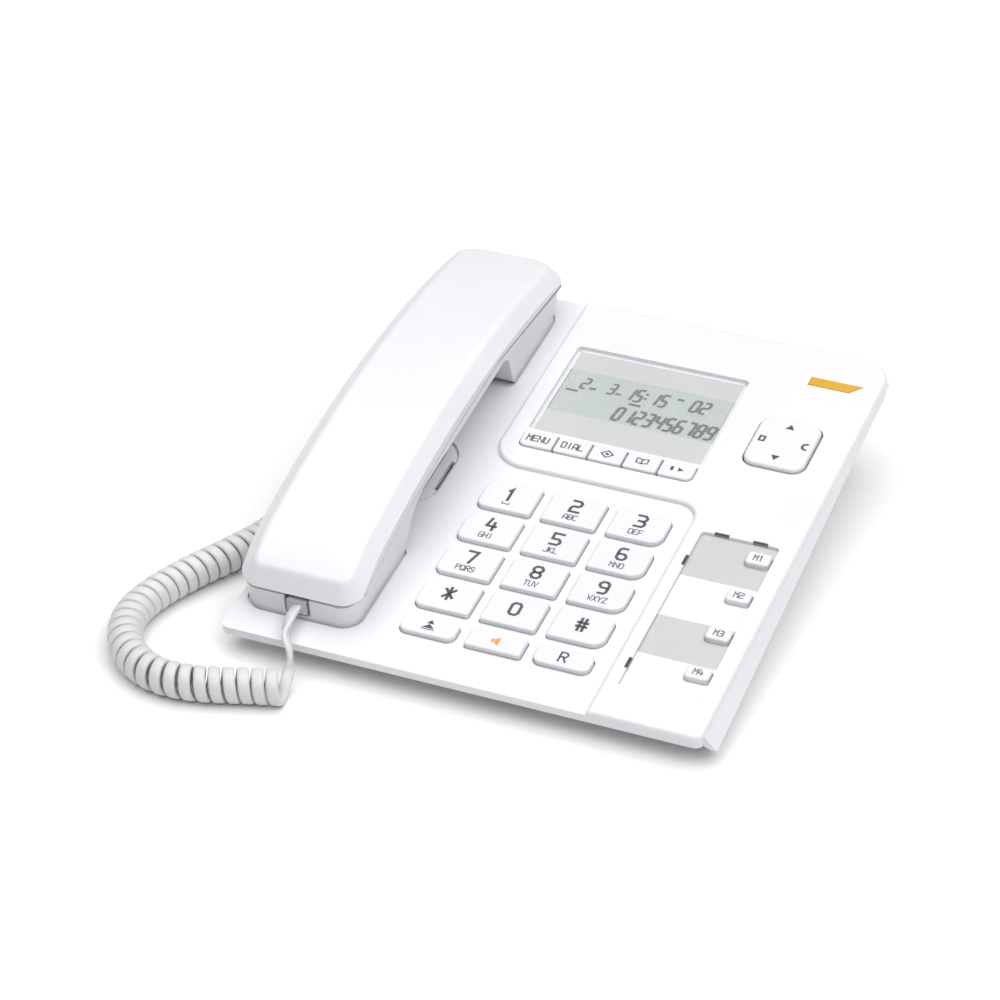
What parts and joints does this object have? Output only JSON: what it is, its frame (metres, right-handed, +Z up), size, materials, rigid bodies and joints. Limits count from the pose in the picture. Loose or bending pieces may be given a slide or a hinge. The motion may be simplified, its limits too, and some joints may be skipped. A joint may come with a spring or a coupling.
{
  "type": "corded desk phone",
  "caption": "White corded desk phone with a sloping base, number keys, a small display, a memory strip, a four-way pad and a handset on a curly cord.",
  "frame": {"origin": "on the table under the middle of the base's outline, without the cord", "axes": "+X to the user's right, +Y away from the user, +Z up"},
  "size_m": [0.2269, 0.2504, 0.0625],
  "materials": {
    "white_shell": "smooth gloss",
    "white_key": "satin",
    "grey_plastic": "fine texture",
    "black_plastic": "moulded",
    "clear_plastic": "polished",
    "plug_plastic": "moulded",
    "lcd": "reflective display",
    "card": "printed card",
    "amber_lens": "translucent",
    "led": "moulded",
    "board": "board",
    "silicone": "silicone",
    "rubber_foot": "matte",
    "steel": "zinc plated",
    "speaker_metal": "drawn metal can",
    "cord_jacket": "soft jacket"
  },
  "bodies": {
    "base": {"top_cover": "white_shell", "bottom_cover": "grey_plastic", "rubber_feet": "rubber_foot", "cover_screws": "steel", "display_window": "clear_plastic", "lcd_panel": "lcd", "lcd_frame": "grey_plastic", "memory_card": "card", "memory_window": "clear_plastic", "ring_light_lens": "amber_lens", "ring_light_led": "led", "main_board": "board", "keypad_mat": "silicone", "loudspeaker": "speaker_metal", "handsfree_microphone": "black_plastic", "line_board": "board", "hook_switch": "black_plastic", "line_jack": "black_plastic", "base_cord_jack": "black_plastic", "base_plug": "plug_plastic", "base_weight": "steel", "base_lead": "cord_jacket", "cord_coil": "cord_jacket"},
    "handset": {"handset_upper_shell": "white_shell", "handset_lower_shell": "white_shell", "handset_receiver": "speaker_metal", "handset_microphone": "black_plastic", "handset_weight": "steel", "handset_jack": "black_plastic", "handset_plug": "plug_plastic", "handset_screws": "steel", "handset_lead": "cord_jacket"},
    "hook_plunger": {"hook_plunger": "grey_plastic"},
    "key_1": {"key_1": "white_key"},
    "key_2": {"key_2": "white_key"},
    "key_3": {"key_3": "white_key"},
    "key_4": {"key_4": "white_key"},
    "key_5": {"key_5": "white_key"},
    "key_6": {"key_6": "white_key"},
    "key_7": {"key_7": "white_key"},
    "key_8": {"key_8": "white_key"},
    "key_9": {"key_9": "white_key"},
    "key_star": {"key_star": "white_key"},
    "key_0": {"key_0": "white_key"},
    "key_hash": {"key_hash": "white_key"},
    "key_redial": {"key_redial": "white_key"},
    "key_speaker": {"key_speaker": "white_key"},
    "key_recall": {"key_recall": "white_key"},
    "soft_key_1": {"soft_key_1": "white_key"},
    "soft_key_2": {"soft_key_2": "white_key"},
    "soft_key_3": {"soft_key_3": "white_key"},
    "soft_key_4": {"soft_key_4": "white_key"},
    "soft_key_5": {"soft_key_5": "white_key"},
    "memory_key_1": {"memory_key_1": "white_key"},
    "memory_key_2": {"memory_key_2": "white_key"},
    "memory_key_3": {"memory_key_3": "white_key"},
    "memory_key_4": {"memory_key_4": "white_key"},
    "nav_hub": {"nav_hub": "silicone"},
    "nav_key": {"nav_key": "white_key"}
  },
  "joints": [
    {"name": "handset_lift", "type": "slide", "parent": "base", "child": "handset", "axis": [0, -0.1392, 0.9903], "range_m": [0, 0.06]},
    {"name": "hook_plunger_slide", "type": "slide", "parent": "base", "child": "hook_plunger", "axis": [0, -0.1392, 0.9903], "range_m": [0, 0.004]},
    {"name": "key_1_press", "type": "slide", "parent": "base", "child": "key_1", "axis": [0, 0.1392, -0.9903], "range_m": [0, 0.0012], "stiffness_N_per_m": 400, "springref_m": -0.0008},
    {"name": "key_2_press", "type": "slide", "parent": "base", "child": "key_2", "axis": [0, 0.1392, -0.9903], "range_m": [0, 0.0012], "stiffness_N_per_m": 400, "springref_m": -0.0008},
    {"name": "key_3_press", "type": "slide", "parent": "base", "child": "key_3", "axis": [0, 0.1392, -0.9903], "range_m": [0, 0.0012], "stiffness_N_per_m": 400, "springref_m": -0.0008},
    {"name": "key_4_press", "type": "slide", "parent": "base", "child": "key_4", "axis": [0, 0.1392, -0.9903], "range_m": [0, 0.0012], "stiffness_N_per_m": 400, "springref_m": -0.0008},
    {"name": "key_5_press", "type": "slide", "parent": "base", "child": "key_5", "axis": [0, 0.1392, -0.9903], "range_m": [0, 0.0012], "stiffness_N_per_m": 400, "springref_m": -0.0008},
    {"name": "key_6_press", "type": "slide", "parent": "base", "child": "key_6", "axis": [0, 0.1392, -0.9903], "range_m": [0, 0.0012], "stiffness_N_per_m": 400, "springref_m": -0.0008},
    {"name": "key_7_press", "type": "slide", "parent": "base", "child": "key_7", "axis": [0, 0.1392, -0.9903], "range_m": [0, 0.0012], "stiffness_N_per_m": 400, "springref_m": -0.0008},
    {"name": "key_8_press", "type": "slide", "parent": "base", "child": "key_8", "axis": [0, 0.1392, -0.9903], "range_m": [0, 0.0012], "stiffness_N_per_m": 400, "springref_m": -0.0008},
    {"name": "key_9_press", "type": "slide", "parent": "base", "child": "key_9", "axis": [0, 0.1392, -0.9903], "range_m": [0, 0.0012], "stiffness_N_per_m": 400, "springref_m": -0.0008},
    {"name": "key_star_press", "type": "slide", "parent": "base", "child": "key_star", "axis": [0, 0.1392, -0.9903], "range_m": [0, 0.0012], "stiffness_N_per_m": 400, "springref_m": -0.0008},
    {"name": "key_0_press", "type": "slide", "parent": "base", "child": "key_0", "axis": [0, 0.1392, -0.9903], "range_m": [0, 0.0012], "stiffness_N_per_m": 400, "springref_m": -0.0008},
    {"name": "key_hash_press", "type": "slide", "parent": "base", "child": "key_hash", "axis": [0, 0.1392, -0.9903], "range_m": [0, 0.0012], "stiffness_N_per_m": 400, "springref_m": -0.0008},
    {"name": "key_redial_press", "type": "slide", "parent": "base", "child": "key_redial", "axis": [0, 0.1392, -0.9903], "range_m": [0, 0.0012], "stiffness_N_per_m": 400, "springref_m": -0.0008},
    {"name": "key_speaker_press", "type": "slide", "parent": "base", "child": "key_speaker", "axis": [0, 0.1392, -0.9903], "range_m": [0, 0.0012], "stiffness_N_per_m": 400, "springref_m": -0.0008},
    {"name": "key_recall_press", "type": "slide", "parent": "base", "child": "key_recall", "axis": [0, 0.1392, -0.9903], "range_m": [0, 0.0012], "stiffness_N_per_m": 400, "springref_m": -0.0008},
    {"name": "soft_key_1_press", "type": "slide", "parent": "base", "child": "soft_key_1", "axis": [0, 0.1392, -0.9903], "range_m": [0, 0.0012], "stiffness_N_per_m": 400, "springref_m": -0.0008},
    {"name": "soft_key_2_press", "type": "slide", "parent": "base", "child": "soft_key_2", "axis": [0, 0.1392, -0.9903], "range_m": [0, 0.0012], "stiffness_N_per_m": 400, "springref_m": -0.0008},
    {"name": "soft_key_3_press", "type": "slide", "parent": "base", "child": "soft_key_3", "axis": [0, 0.1392, -0.9903], "range_m": [0, 0.0012], "stiffness_N_per_m": 400, "springref_m": -0.0008},
    {"name": "soft_key_4_press", "type": "slide", "parent": "base", "child": "soft_key_4", "axis": [0, 0.1392, -0.9903], "range_m": [0, 0.0012], "stiffness_N_per_m": 400, "springref_m": -0.0008},
    {"name": "soft_key_5_press", "type": "slide", "parent": "base", "child": "soft_key_5", "axis": [0, 0.1392, -0.9903], "range_m": [0, 0.0012], "stiffness_N_per_m": 400, "springref_m": -0.0008},
    {"name": "memory_key_1_press", "type": "slide", "parent": "base", "child": "memory_key_1", "axis": [0, 0.1392, -0.9903], "range_m": [0, 0.0012], "stiffness_N_per_m": 400, "springref_m": -0.0008},
    {"name": "memory_key_2_press", "type": "slide", "parent": "base", "child": "memory_key_2", "axis": [0, 0.1392, -0.9903], "range_m": [0, 0.0012], "stiffness_N_per_m": 400, "springref_m": -0.0008},
    {"name": "memory_key_3_press", "type": "slide", "parent": "base", "child": "memory_key_3", "axis": [0, 0.1392, -0.9903], "range_m": [0, 0.0012], "stiffness_N_per_m": 400, "springref_m": -0.0008},
    {"name": "memory_key_4_press", "type": "slide", "parent": "base", "child": "memory_key_4", "axis": [0, 0.1392, -0.9903], "range_m": [0, 0.0012], "stiffness_N_per_m": 400, "springref_m": -0.0008},
    {"name": "nav_tilt_up_down", "type": "hinge", "parent": "base", "child": "nav_hub", "pos_m": [0.0634, 0.04767, 0.02724], "axis": [1, 0, 0], "range_deg": [-3, 3], "stiffness_Nm_per_rad": 0.6},
    {"name": "nav_tilt_left_right", "type": "hinge", "parent": "nav_hub", "child": "nav_key", "pos_m": [0.0634, 0.04767, 0.02724], "axis": [0, 0.9903, 0.1392], "range_deg": [-3, 3], "stiffness_Nm_per_rad": 0.6}
  ],
  "couplings": [
    {"joint": "hook_plunger_slide", "follows": "handset_lift", "ratio": 0.0666}
  ]
}
